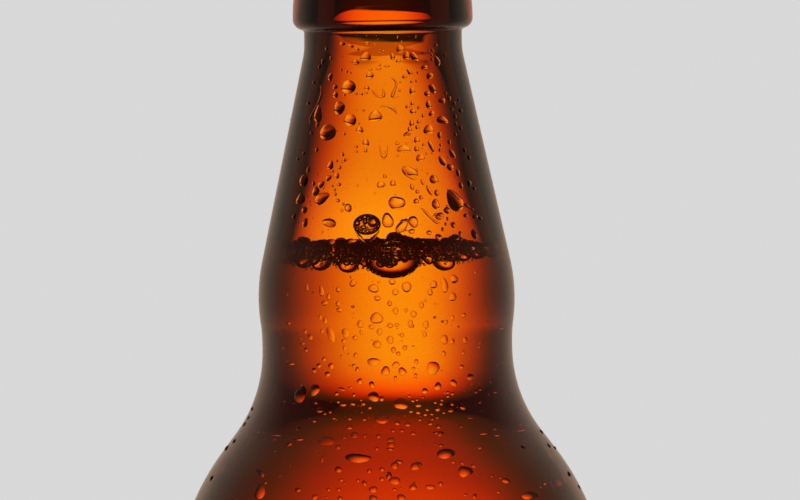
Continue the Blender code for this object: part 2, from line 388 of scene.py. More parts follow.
def blank(name):
    """A material without nodes, and its tree."""
    made = bpy.data.materials.new(name)
    made.use_nodes = True
    made.node_tree.nodes.clear()
    return made, made.node_tree


AMBER = (7.8, 229.0, 896.0)    # absorbed per metre, in red, green and blue
BEER = (0.6, 4.0, 22.0)
GLASS_IOR = 1.52
BEER_IOR = 1.34
WATER_IOR = 1.333
# Waves per metre, their depth in metres, and the roughness where the surface is dullest.
GLASS_WAVES = (75.0, 0.00012, 0.02)
LIQUID_WAVES = (90.0, 0.00002, 0.012)
SMEARS_PER_METRE = 210.0


def swallow(tree, per_metre):
    """Volume Absorption whose density times (1 - colour) is the absorption per metre."""
    density = max(per_metre) * 1.004
    colour = (*[1 - a / density for a in per_metre], 1.0)
    return put(tree, "ShaderNodeVolumeAbsorption", Color=colour, Density=density).outputs[0]


def uneven_surface():
    """A node group: slow waves as a normal, and a polish that changes from place to place as a roughness."""
    group = bpy.data.node_groups.new("uneven surface", "ShaderNodeTree")
    for name, way, kind in (("Waves per metre", "INPUT", "Float"), ("Depth", "INPUT", "Float"),
                            ("Dullest", "INPUT", "Float"), ("Normal", "OUTPUT", "Vector"),
                            ("Roughness", "OUTPUT", "Float")):
        group.interface.new_socket(name, in_out=way, socket_type="NodeSocket" + kind)
    given = put(group, "NodeGroupInput").outputs
    place = put(group, "ShaderNodeTexCoord").outputs["Object"]
    waves = put(group, "ShaderNodeTexNoise", Vector=place, Scale=given[0], Detail=1.5).outputs["Fac"]
    smears = put(group, "ShaderNodeTexNoise", Vector=place, Scale=SMEARS_PER_METRE, Detail=3.0).outputs["Fac"]
    bump = put(group, "ShaderNodeBump", Strength=1.0, Distance=given[1], Height=waves)
    dull = times(group, eased(group, smears, 0.45, 0.75), given[2])
    put(group, "NodeGroupOutput", i0=bump.outputs[0], i1=dull)
    return group


UNEVEN = uneven_surface()


def clear_material(name, ior, per_metre=None, waves=LIQUID_WAVES):
    """A clear solid with an uneven surface, which absorbs so much per metre."""
    made, tree = blank(name)
    uneven = put(tree, "ShaderNodeGroup", node_tree=UNEVEN, i0=waves[0], i1=waves[1], i2=waves[2])
    shader = put(tree, "ShaderNodeBsdfPrincipled", IOR=ior, Transmission_Weight=1.0, Base_Color=(1, 1, 1, 1),
                 Roughness=uneven.outputs[1], Normal=uneven.outputs[0])
    out = put(tree, "ShaderNodeOutputMaterial", Surface=shader.outputs[0])
    if per_metre:
        feed(tree, out.inputs["Volume"], swallow(tree, per_metre))
    return made


# ---------------------------------------------------------------- glass


INNER_WAVE = 0.035             # of the inner wall
THROAT_RIDGE = (0.045, 3.6, 0.3)    # its height inwards, how far under the carrying ring, and its reach


def glass_sway(turn, height, row):
    """Blown glass is a little uneven inside: slow waves round and along it, and a low ridge in the throat."""
    wave = (np.sin(3 * turn + height / 9.0) + np.sin(5 * turn - height / 6.1 + 1.0)
            + np.sin(2 * turn + height / 4.3 + 2.0) * 0.6)
    most, below, reach = THROAT_RIDGE
    ridge = most * np.exp(-((height - RING_UNDERSIDE + below) / reach) ** 2)
    return np.where(row < INNER_ROWS, INNER_WAVE * wave - ridge, 0.0)


inside, outside = cavity()[::-1], glass_outside()
INNER_ROWS = len(inside) - 2
points, faces = turned(np.concatenate([inside[:-1], outside]), sway=glass_sway)
piece("glass_bottle", points, faces, clear_material("amber_glass", GLASS_IOR, AMBER, GLASS_WAVES),
      slot="amber_glass", replaces=["bottle"])


# ---------------------------------------------------------------- crown cap

FIT_GAP = 0.3
CAP_D = 29.0
CAP_HEIGHT = 6.0
CAP_SHEET = 0.3
CAP_FLUTES = 21
CAP_FLUTE_DEPTH = 0.9
CAP_EDGE_R = 1.9
CAP_CROWN = 0.25
CAP_PANEL_SLOPE = 1.3
CAP_FLARE = 20.0
CAP_FLARE_LENGTH = 1.0
CAP_SKIRT_R = 5.0
CAP_COLUMNS = 12               # columns of faces to a flute
CAP_GOLDS = ((0.66, 0.50, 0.22, 1.0), (0.74, 0.60, 0.32, 1.0))
GRAIN_PER_METRE = 2600.0
CLOUDS_PER_METRE = 240.0


def cap_metal():
    """Lacquered steel: fine grain, and clouds in its polish and its gold."""
    made, tree = blank("cap_metal")
    place = put(tree, "ShaderNodeTexCoord").outputs["Object"]
    grain = put(tree, "ShaderNodeTexNoise", Vector=place, Scale=GRAIN_PER_METRE, Detail=3.0).outputs["Fac"]
    cloud = put(tree, "ShaderNodeTexNoise", Vector=place, Scale=CLOUDS_PER_METRE, Detail=2.0).outputs["Fac"]
    polish = sums(tree, "MULTIPLY_ADD", cloud, 0.22, 0.2)
    bump = put(tree, "ShaderNodeBump", Strength=0.08, Distance=0.00003, Height=grain)
    shader = put(tree, "ShaderNodeBsdfPrincipled", Base_Color=choose(tree, cloud, *CAP_GOLDS), Metallic=1.0,
                 Roughness=polish, Normal=bump.outputs[0])
    put(tree, "ShaderNodeOutputMaterial", Surface=shader.outputs[0])
    return made


def crown_cap():
    """The cap's sheet: a nearly flat panel, a rounded edge, a flare and a skirt fluted towards its foot.

    A ring's radius grows by half the flute depth times t (2 - t) cos(flutes times turn), with t from 0 at the
    top to 1 at the hem.
    """
    top = HEIGHT + FIT_GAP + CAP_SHEET
    hem_r = (CAP_D - CAP_FLUTE_DEPTH) / 2
    line = Outline(0, top + CAP_CROWN, heading=90 - CAP_PANEL_SLOPE)
    flare_rise = CAP_EDGE_R * (cos(radians(CAP_FLARE)) - cos(radians(line.heading)))
    flare_in = CAP_SKIRT_R * (1 - cos(radians(CAP_FLARE)))
    panel_r = hem_r - flare_rise - CAP_FLARE_LENGTH * sin(radians(CAP_FLARE)) - flare_in
    line.run(panel_r, 0.7).arc(CAP_EDGE_R, CAP_FLARE - line.heading, 0.2).run(CAP_FLARE_LENGTH, 0.3)
    line.arc(CAP_SKIRT_R, -CAP_FLARE, 0.25)
    line.run(line.end[1] - (top - CAP_HEIGHT), 0.3)
    outer = line.points
    under = inset(outer, CAP_SHEET)
    under[0, 0] = 0.0
    outline = np.concatenate([under[:-1], [under[-1] * (1, 0) + outer[-1] * (0, 1)], outer[::-1]])
    heights = outline[1:-1, 1][:, None]

    def flutes(turn, height, row):
        t = np.clip((top - heights) / CAP_HEIGHT, 0.0, 1.0)
        return CAP_FLUTE_DEPTH / 2 * t * (2 - t) * np.cos(CAP_FLUTES * turn)

    points, faces = turned(outline, CAP_FLUTES * CAP_COLUMNS, sway=flutes)
    piece("crown_cap_metal", points, [f[:, ::-1] for f in faces], cap_metal(), slot="cap_metal",
          replaces=["crown_cap"])


crown_cap()


# ---------------------------------------------------------------- places on the glass

# Drops and bubbles in front are placed on a sight grid, 800 wide and 500 high, as the eye in front sees it.
SIGHT = 6.287                  # steps of the grid to a millimetre, at the distance of the bottle's axis
SIGHT_RING = 29.0              # the carrying ring's underside on the grid
SIGHT_AXIS = 382.7             # the bottle's axis at the grid's top
SIGHT_AXIS_LEAN = 0.0146       # its steps to the right for each step down
SIGHT_MIDDLE = (400.0, 250.0)
SIGHT_FOOT = 512.0             # a little under the grid's foot
SIGHT_DISTANCE = 1000.0        # from the eye to the bottle's axis
LOOK_DOWN = radians(2.7)
FRONT = -pi / 2                # the turn that faces the eye


class Skin:
    """A turned surface known by the arc length down its outline: radius, height and the normal outwards."""

    def __init__(self, line):
        self.line = line
        self.length = np.concatenate([[0], np.cumsum(np.linalg.norm(np.diff(line, axis=0), axis=1))])
        along = np.gradient(line, self.length, axis=0)
        along /= np.linalg.norm(along, axis=1)[:, None]
        self.normal = np.stack([-along[:, 1], along[:, 0]], 1)

    def down_to(self, height):
        """The arc length down to a height."""
        return np.interp(-height, -self.line[:, 1], self.length)

    def radius(self, down):
        return np.interp(down, self.length, self.line[:, 0])

    def at(self, turn, down, out):
        """(radius cos turn, radius sin turn, height) of the outline moved out along its normal."""
        radius, height = (np.interp(down, self.length, self.line[:, k]) for k in (0, 1))
        lean_r, lean_z = (np.interp(down, self.length, self.normal[:, k]) for k in (0, 1))
        radius = radius + out * lean_r
        return np.stack([radius * np.cos(turn), radius * np.sin(turn), height + out * lean_z], -1)

    def seen_at(self, x, y):
        """Turn, arc length down and cosine of the turn from the front, of a place on the sight grid.

        The nearer the surface is to the eye, the larger it looks on the grid: a few rounds settle how near.
        """
        middle_x, middle_y = SIGHT_MIDDLE
        height, nearer = RING_UNDERSIDE - (y - SIGHT_RING) / SIGHT, 0.0
        for _ in range(5):
            share = 1 - nearer / SIGHT_DISTANCE
            level = RING_UNDERSIDE - ((y - middle_y) * share + middle_y - SIGHT_RING) / SIGHT
            across = ((x - middle_x) * share + middle_x - SIGHT_AXIS - SIGHT_AXIS_LEAN * y) / SIGHT
            radius = self.radius(self.down_to(height))
            turn = np.arcsin(np.clip(across / radius, -0.998, 0.998))
            nearer = radius * np.cos(turn)
            height = level + nearer * sin(LOOK_DOWN)
        return FRONT + turn, self.down_to(height), np.cos(turn)


# ---------------------------------------------------------------- beer

CAVITY = cavity()
INNER_WALL = Skin(CAVITY[CAVITY[:, 1] < RING_UNDERSIDE - 3.0])
MENISCUS = 0.9
MENISCUS_REACH = 0.9
BEER_COLUMNS = 184
FILM = 0.11                    # beer between a bubble and the wall or the air
# A bubble's rows and columns of faces by its least and most size.
BUBBLE_GRIDS = ((0.0, 0.32, 5, 8), (0.32, 0.6, 6, 10), (0.6, 9.0, 10, 16))
FROTH_HALF_WIDTH = 20.3        # from the axis to where the froth meets the wall at the sides
FROTH_DEPTH = 3.1              # under the liquid's level, where it isn't given below
FROTH_RISE = 1.0               # over the level there
NEAR = (0.0, 0.0, 0.0, 1.0, 2.2)      # how much further in than against the wall a bubble may lie
DEEP = (4.6, 6.8, 9.0)
# How many bubbles are tried, from the largest down, their least and most radius, and how far in they lie.
FROTH_SIZES = ((700, 1.0, 1.5, NEAR), (900, 0.9, 1.5, DEEP), (3000, 0.55, 1.0, NEAR), (9000, 0.3, 0.55, NEAR),
               (14000, 0.16, 0.3, NEAR))
# Behind the largest bubble lies no other one: within this share of its half width and between these of its
# half height.
CLEAR_BEHIND = (0.85, -0.3, 0.9)
CLUMP = (367, 224.0, 2.05, 1.65, 1.5)    # its place on the sight grid and its half width, height and depth
CLUMP_IN = 0.25                # from the wall to its middle
CLUMP_SIZES = ((0.72, 60), (0.42, 500), (0.24, 1500))    # a bubble's radius and how many are tried
LOOSE_BUBBLES = 60             # that rise in the beer, thinning out from under the froth down
LOOSE_FROM = LIQUID_TOP - 6.0
LOOSE_STRETCH = 70.0
LOOSE_SIZES = (0.07, 0.2)

# The froth's upper and lower edge in front, on the sight grid.
FROTH_TOP = ((290, 238), (322, 242), (346, 241), (392, 236.4), (405, 233.4), (446, 242.6), (484, 244.8))
FROTH_FOOT = ((288, 265.5), (316, 271.6), (330, 264), (339, 268.6), (350, 274), (365, 268.6), (377, 276),
              (392.5, 278.5), (408, 276), (419, 267), (435, 267), (446, 272.4), (455, 267), (466, 265.5),
              (481, 259.4))
# Bubbles in front, on the sight grid: middle across and down, width, height.
FRONT_BUBBLES = (
    (393.6, 260.5, 51, 36), (447.5, 263.5, 19, 17), (347, 264, 19, 17), (318, 261, 17, 19),
    (300, 257, 14, 22), (365, 257, 11, 20), (431, 257, 12, 17), (466, 256, 14, 15), (481, 255, 12, 13),
    (331, 252, 11, 13), (358, 246, 12, 9), (424, 247, 11, 10), (449, 249.5, 11, 8), (289, 250, 6, 18),
    (493, 254, 8, 12), (395, 237, 15, 9), (341, 241, 10, 7), (408, 240, 8, 6), (447, 243, 9, 8),
    (457, 240.5, 9, 8), (464, 245, 9, 8), (302, 240, 8, 7), (375, 240, 9, 7), (324, 242, 7, 6),
    (434, 243, 7, 6), (472, 246, 8, 7), (313, 244, 8, 7),
)


def swing_of(turn, middle):
    """How far a turn lies from a middle one, between minus and plus half a round."""
    return (turn - middle + pi) % (2 * pi) - pi


def seen_through(x, y):
    """Turn and height on the inner wall of a place on the sight grid, the ray bent by the glass."""
    outer = Skin(neck_and_body().points)
    turn, down, _ = outer.seen_at(x, y)
    height = np.interp(down, outer.length, outer.line[:, 1])
    enters = np.abs(np.sin(turn - FRONT))
    inner = INNER_WALL.radius(INNER_WALL.down_to(height)) / outer.radius(down)
    bent = (np.arcsin(enters) - np.arcsin(enters / GLASS_IOR)
            + np.arcsin(np.clip(enters / GLASS_IOR / inner, 0, 0.99)))
    lean = np.arctan2(*(np.interp(down, outer.length, outer.normal[:, k]) for k in (1, 0)))
    falls = lean - np.arcsin(np.sin(lean - LOOK_DOWN) / GLASS_IOR)
    return FRONT + np.sign(turn - FRONT) * bent, height - wall_at(height) * np.tan(falls)


def front_bubbles():
    """The bubbles that are placed one by one: turn, height, depth of the middle and the three half sizes."""
    shapes = []
    for x, y, wide, tall in FRONT_BUBBLES:
        turn, height = seen_through(x, y)
        a, b = wide / 2 / SIGHT / max(cos(turn - FRONT), 0.45), tall / 2 / SIGHT
        shapes.append((turn, height, 0.8 * min(a, b), a, b, min(a, b)))
    return shapes


def froth():
    """Bubbles along the wall: turn, height, depth of the middle, half width, half height and half depth.

    A ball is accepted between the froth's upper and lower edge where it touches no other: its offsets from
    each other one, divided by their half sizes together, make a length over 1.
    """
    rng = np.random.default_rng(SEED)
    shapes = front_bubbles()
    lens = shapes[0]
    beside, lowest, highest = CLEAR_BEHIND
    aside = np.linspace(-0.97, 0.97, 41) * FROTH_HALF_WIDTH * SIGHT
    x = SIGHT_AXIS + SIGHT_AXIS_LEAN * SIGHT_MIDDLE[1] + aside
    turns, tops = seen_through(x, np.interp(x, *np.array(FROTH_TOP).T))
    _, feet = seen_through(x, np.interp(x, *np.array(FROTH_FOOT).T))
    wall = float(INNER_WALL.radius(INNER_WALL.down_to(LIQUID_TOP)))
    side_top = LIQUID_TOP + FROTH_RISE
    for tries, least, most, layers in FROTH_SIZES:
        turn = rng.uniform(0, 2 * pi, tries) - pi
        swing = swing_of(turn, FRONT)
        size = rng.uniform(least, most, tries)
        wave = 0.5 * np.sin(5 * turn) + 0.4 * np.sin(11 * turn + 1)
        top = np.interp(swing, turns - FRONT, tops, left=side_top, right=side_top)
        foot = np.interp(swing, turns - FRONT, feet, left=-1, right=-1)
        foot = np.where(foot < 0, LIQUID_TOP - FROTH_DEPTH + wave, foot)
        depth = size * rng.uniform(0.85, 1.0, tries) + rng.choice(layers, tries)
        free = np.maximum(top - size - FILM - foot - size, 0)
        height = foot + size + rng.uniform(0, 1, tries) ** 1.3 * free
        for t, z, d, r in zip(turn, height, depth, size):
            known = np.array(shapes)
            around = swing_of(t, known[:, 0]) * wall
            gap = np.sqrt((around / (known[:, 3] + r)) ** 2 + ((z - known[:, 1]) / (known[:, 4] + r)) ** 2
                          + ((d - known[:, 2]) / (known[:, 5] + r)) ** 2)
            behind_lens = (abs(around[0]) < beside * lens[3] and lowest < (z - lens[1]) / lens[4] < highest
                           and d > lens[2])
            if (gap > 1.0 + 0.05 / (r + 0.5)).all() and not behind_lens:
                shapes.append((t, z, d, r, r, r))
    return np.array(shapes)


def wall_bubbles(shapes, rows, columns, nearest=FILM, hollow=True):
    """Bubbles: turn + x / radius, height + y and depth - z of a ball's points, none nearer than the film.

    Where one would reach the wall it is flat, as a bubble pressed against the glass is. A hollow's faces look
    towards its middle, as the walls of a bubble in a liquid do.
    """
    ball = unit_ball(rows, columns)
    turn, height, depth, half_a, half_b, half_c = (shapes[:, k, None] for k in range(6))
    z = height + half_b * ball[:, 1]
    d = np.maximum(depth - half_c * ball[:, 2], nearest)
    wall = INNER_WALL.radius(INNER_WALL.down_to(z))
    middle = INNER_WALL.radius(INNER_WALL.down_to(height))
    t = turn + half_a * ball[:, 0] / (middle - depth)
    points = np.stack([(wall - d) * np.cos(t), (wall - d) * np.sin(t), z], -1)
    return points.reshape(-1, 3), repeated(*closed_grid(rows - 1, columns, hollow), len(ball), len(shapes))


def bubbles_by_size(shapes):
    """The hollows of all bubbles, larger ones with a finer grid."""
    size = shapes[:, 5]
    return [wall_bubbles(shapes[(size >= least) & (size < most)], rows, columns)
            for least, most, rows, columns in BUBBLE_GRIDS]


def clump():
    """A small heap of froth left on the wall over the beer: a pillow of beer and the bubbles in it.

    A bubble's place is accepted where its ball is inside the pillow's ellipsoid and touches no other ball.
    """
    rng = np.random.default_rng(SEED + 3)
    turn, height = seen_through(*CLUMP[:2])
    half_a, half_b, half_c = CLUMP[2:]
    wall = float(INNER_WALL.radius(INNER_WALL.down_to(height)))
    pillow = np.array([[turn, height, CLUMP_IN, half_a, half_b, half_c]])
    placed = []
    for size, tries in CLUMP_SIZES:
        for a, b, c in rng.uniform(-1, 1, (tries, 3)) * (half_a, half_b, half_c):
            d = max(CLUMP_IN + c, FILM + 0.7 * size)
            inside = ((a / (half_a - size - FILM)) ** 2 + (b / (half_b - size - FILM)) ** 2
                      + ((d - CLUMP_IN) / (half_c - size * 0.8 - FILM)) ** 2) < 1
            apart = all((a - q[0]) ** 2 + (b - q[1]) ** 2 + (d - q[2]) ** 2 > (size + q[3] + 0.03) ** 2
                        for q in placed)
            if inside and apart:
                placed.append((a, b, d, size))
    a, b, d, size = np.array(placed).T
    bubbles = np.stack([turn + a / wall, height + b, d, size, size, size], 1)
    return joined(wall_bubbles(pillow, 22, 36, -INTO_WALL, hollow=False), *bubbles_by_size(bubbles))


def beer_body(shapes):
    """The cavity's outline, a little into the wall, under a surface that bulges over the highest bubbles.

    The surface is level, climbs the wall as exp(-distance / reach), and over a bubble is its ellipsoid.
    """
    line = inset(CAVITY, -INTO_WALL)
    line[-1, 0] = 0.0
    top = LIQUID_TOP + MENISCUS
    wall_r = float(np.interp(-top, -line[:, 1], line[:, 0]))
    below = line[line[:, 1] < top - 0.35]
    radii = wall_r * (1 - np.linspace(1, 0, 64, endpoint=False) ** 2.0)
    surface = np.stack([radii, np.full(len(radii), LIQUID_TOP)], 1)
    surface[:, 1] += MENISCUS * np.exp(-(wall_r - radii) / MENISCUS_REACH)
    outline = np.concatenate([surface, [[wall_r, top]], below])
    high = shapes[shapes[:, 1] + shapes[:, 4] > LIQUID_TOP - FILM]

    def bulge(turn, radius, row):
        base = outline[1:-1, 1][:, None] + 0 * turn
        raised = base.copy()
        free = (row < len(surface) - 1) & (radius < wall_r - 0.02)
        for t, z, d, a, b, c in high:
            across = swing_of(turn, t) * (wall_r - d) / (a + FILM)
            inward = (wall_r - d - radius) / (c + FILM)
            inside = 1 - across ** 2 - inward ** 2
            over = z + (b + FILM) * np.sqrt(np.maximum(inside, 0))
            raised = np.maximum(raised, np.where(inside > 0, over, base))
        return np.where(free, raised - base, 0.0)

    return turned(outline, BEER_COLUMNS, lift=bulge)


def loose_bubbles():
    """Small bubbles rising in the beer, most of them near the wall, under the froth."""
    rng = np.random.default_rng(SEED + 1)
    height = LOOSE_FROM - rng.uniform(0, 1, LOOSE_BUBBLES) ** 1.6 * LOOSE_STRETCH
    wall = INNER_WALL.radius(INNER_WALL.down_to(height))
    radius = (wall - 1.0) * rng.uniform(0.1, 1, LOOSE_BUBBLES) ** 0.35
    turn = rng.uniform(0, 2 * pi, LOOSE_BUBBLES)
    middles = np.stack([radius * np.cos(turn), radius * np.sin(turn), height], 1)
    size = rng.uniform(*LOOSE_SIZES, LOOSE_BUBBLES)
    rows, columns = 6, 9
    ball = unit_ball(rows, columns)
    points = middles[:, None] + ball * np.outer(size, (1, 1, 0.94))[:, None]
    return points.reshape(-1, 3), repeated(*closed_grid(rows - 1, columns, True), len(ball), LOOSE_BUBBLES)


beer_material = clear_material("beer", BEER_IOR, BEER)
froth_shapes = froth()
points, faces = joined(beer_body(froth_shapes), *bubbles_by_size(froth_shapes), loose_bubbles())
piece("beer_with_bubbles", points, faces, beer_material, slot="beer", replaces=["beer", "foam"])
points, faces = clump()
piece("froth_clump", points, faces, beer_material, slot="beer")


# ---------------------------------------------------------------- condensation

OUTER_SKIN = Skin(neck_and_body().points)
SINK = 0.03                    # how far a drop's underside lies in the glass
ROUND_CONTACT = 0.28           # how much fuller than a parabola a drop is towards its rim
STREAK = (0.24, 0.62)          # half the width of a run, and its height as a share of that

# Drops in front, on the sight grid: middle across and down, width, height, how much of the water hangs low,
# and lean to the right of the foot in degrees. A row ends early where a drop is as high as wide, hangs as the
# most of its table do, and doesn't lean.
HANG_OVER_BEER = 0.2
DROPS_OVER_BEER = (
    (366, 56.5, 10, 10, .5), (356, 61.5, 7, 5, .4), (370, 75, 8, 7, .4), (348.5, 86, 14, 14, .5, 30),
    (330.6, 76, 5, 8, .3, -20), (335.4, 86, 5, 5, .3), (335.7, 94, 6, 6, .3, -30),
    (339.5, 107, 11, 14, .4, -42), (350.4, 119.3, 12, 13, .4), (360, 129.2, 7, 7, .4),
    (367.3, 87.7, 5, 5, .3), (356.4, 93.2, 3), (361.5, 93.6, 3.5), (366.6, 92.5, 3), (363.5, 110, 3),
    (344.6, 94.2, 3), (375.6, 116, 14, 11), (347, 71, 3), (350.6, 72.2, 2.6), (341.5, 69, 2.6, 3),
    (370.5, 69.2, 4, 2.6), (379, 68.6, 5, 3), (387.4, 66, 5, 3), (328, 131, 16, 17, .6, -25),
    (318.4, 113, 8, 17, .5, 8), (323.3, 60.3, 3.4, 6, .3, 10), (320, 65.6, 3, 5, .3, 10),
    (314.3, 81.4, 3, 4), (309, 101.8, 3, 4), (317.9, 123.4, 4, 5), (311.8, 131.8, 3, 4), (331.3, 57, 3, 4),
    (326.8, 48, 3, 4), (342.7, 43, 6, 4), (351, 45.7, 6, 4), (357.4, 48.8, 5, 3.4), (367.6, 43, 5, 3.4),
    (400.4, 49, 8, 8, .4, 25), (406.6, 56, 7, 9, .4, 10), (414.4, 57, 7, 11, .3, 42),
    (392.8, 56.5, 5, 7, .5), (398.5, 61, 5, 4, .3, 20), (437.4, 62, 6, 10, .4, 12), (432.4, 50.8, 3, 3.4),
    (431.7, 55.2, 2.6, 3), (432.3, 59.9, 3, 3.4), (436, 45.7, 3, 4), (444.7, 55.9, 3, 4),
    (424.6, 67.7, 7, 5, .3, 15), (409.7, 72.4, 4, 8, .2, 35), (404.6, 77, 4, 5, .2, 30), (418.3, 73, 3),
    (430, 76.3, 7, 7, .4, 20), (411.9, 82, 3, 3.4), (417, 81.4, 3), (432.5, 89, 7, 10, .4, 38),
    (412.4, 91, 6, 7, .4), (427.5, 94, 6, 6, .4, 10), (442.2, 101.1, 7, 6, .4), (449.2, 99.2, 4, 6, .3, 10),
    (412.5, 103.7, 4, 5, .3), (408, 107, 5, 4), (413.2, 111.5, 6, 6, .4), (418.9, 107.8, 3, 4),
    (428.8, 105, 6, 8, .4), (432, 114, 6, 6, .4), (423.4, 115.8, 3, 4.4), (442.5, 120.5, 11, 8, .5, -5),
    (429, 129.8, 10, 10, .5), (411.9, 123.5, 5, 7, .3), (418.9, 122, 4, 4.4, .3), (410, 129.4, 4.4, 5, .3),
    (417.6, 127.6, 4.4, 4.4, .3), (406.8, 134.6, 6, 5, .3), (440, 135.8, 5, 7, .3, 10), (445.7, 94, 3, 3.4),
    (452, 110, 3, 4), (454.3, 103.7, 3, 4), (458.8, 100.5, 2.6, 4), (460.7, 111.3, 4, 4.4),
    (455.3, 117, 3, 4), (455.9, 124.7, 3, 4), (460.7, 128.6, 3, 5), (455.6, 135, 3, 4),
    (366.2, 142.1, 7, 7, .4), (344.5, 133, 3), (356.3, 146, 4, 3.4), (356.6, 150.9, 3), (365.9, 150, 3.4, 5),
    (342.3, 153.6, 4.4, 4.4, .3), (344.2, 159.3, 4, 4, .3), (336.9, 160, 3), (330.5, 164.1, 7, 9, .4, -12),
    (340, 166.6, 3.4, 4, .3), (332.7, 170.2, 3), (336.9, 174.8, 6, 6, .4, -15), (328.6, 177, 5, 8, .3, -50),
    (321.3, 183.2, 5, 10, .3, -55), (314, 182.3, 3.4, 5), (315.8, 190, 8, 9), (322, 197, 9, 19, .5, -72),
    (339.4, 183.6, 4, 4, .3), (332.7, 185, 2.6), (335, 188.9, 2.6, 3), (335.6, 193.3, 3, 4),
    (338.2, 199.6, 4), (348.4, 207, 7, 9, .5), (343.6, 203.3, 3), (381.2, 184.4, 8, 7, .3), (385, 175.9, 4),
    (304, 179, 9, 12, .4, 8), (317.1, 148.5, 3.4, 5), (304.3, 151.7, 3, 4), (298.3, 157.4, 3, 4),
    (308.5, 168.5, 3.4, 7, .2, 8), (300.8, 197.5, 9, 11, .4, 5), (304.7, 208.6, 6, 7, .3, -15),
    (294.5, 214.8, 3, 6, .2, -10), (305.3, 221.4, 5, 10, .3, -10), (329.5, 222, 14, 9, -.3, -5),
    (408.5, 133.4, 5, 4), (417.1, 140.1, 6, 6, .4), (439.4, 135.9, 4, 4.4), (449.6, 142.8, 4, 4.4),
    (416.8, 149.1, 5, 6, .3, 10), (423.8, 145, 3), (431.6, 146.5, 5, 12, .2, 22), (441, 145.4, 3, 3.4),
    (440.4, 150.6, 3.4, 4), (404, 149, 13, 8, .4), (420.6, 158, 9, 7, .5), (452.3, 154.4, 5, 11, .2, 28),
    (442.8, 161.5, 6, 12, .3, 32), (450.6, 167.8, 7, 7, .4, 5), (458.2, 173.6, 4.4, 7, .3, 8),
    (464.6, 151, 3, 6, .2, 12), (469, 158, 3, 6, .2, 12), (410, 171.5, 9, 17, .4, 60),
    (434.2, 179.8, 8, 10, .4, 18), (422.8, 182.3, 3, 7, .2, 18), (429.8, 190.8, 4, 12, .2, 30),
    (437, 193.3, 5, 6.4, .3, 25), (412.3, 187, 4, 6.4, .2, 25), (417.6, 191.9, 4), (421.3, 197.8, 4.4),
    (416.5, 201.4, 6, 5), (461.1, 186.3, 4.4, 7, .3, 5), (469.4, 183.8, 4.4, 7, .3, 15),
    (474.4, 189.4, 3.4, 4), (393.2, 183, 6, 6, .4), (455, 201.2, 15, 23, .5, 38),
    (436, 204.4, 8, 10, .4, 15), (447.6, 211, 7, 7, .4), (440, 216.8, 9, 7, -.2, 10),
    (465.9, 216.3, 4.4, 4.4, .3), (475.5, 217.4, 6, 5, .3), (480.4, 218.9, 4),
    (453.8, 225.7, 4.4, 6.4, .3, 10), (448, 219.4, 3, 4), (446.1, 224.6, 3, 3.4), (443, 229.8, 3, 4.4),
    (456, 237.6, 8, 6, .4), (460.4, 234, 3, 5), (474.5, 235, 6, 10, .3, 25),
)
HANG_BESIDE_BEER = 0.1
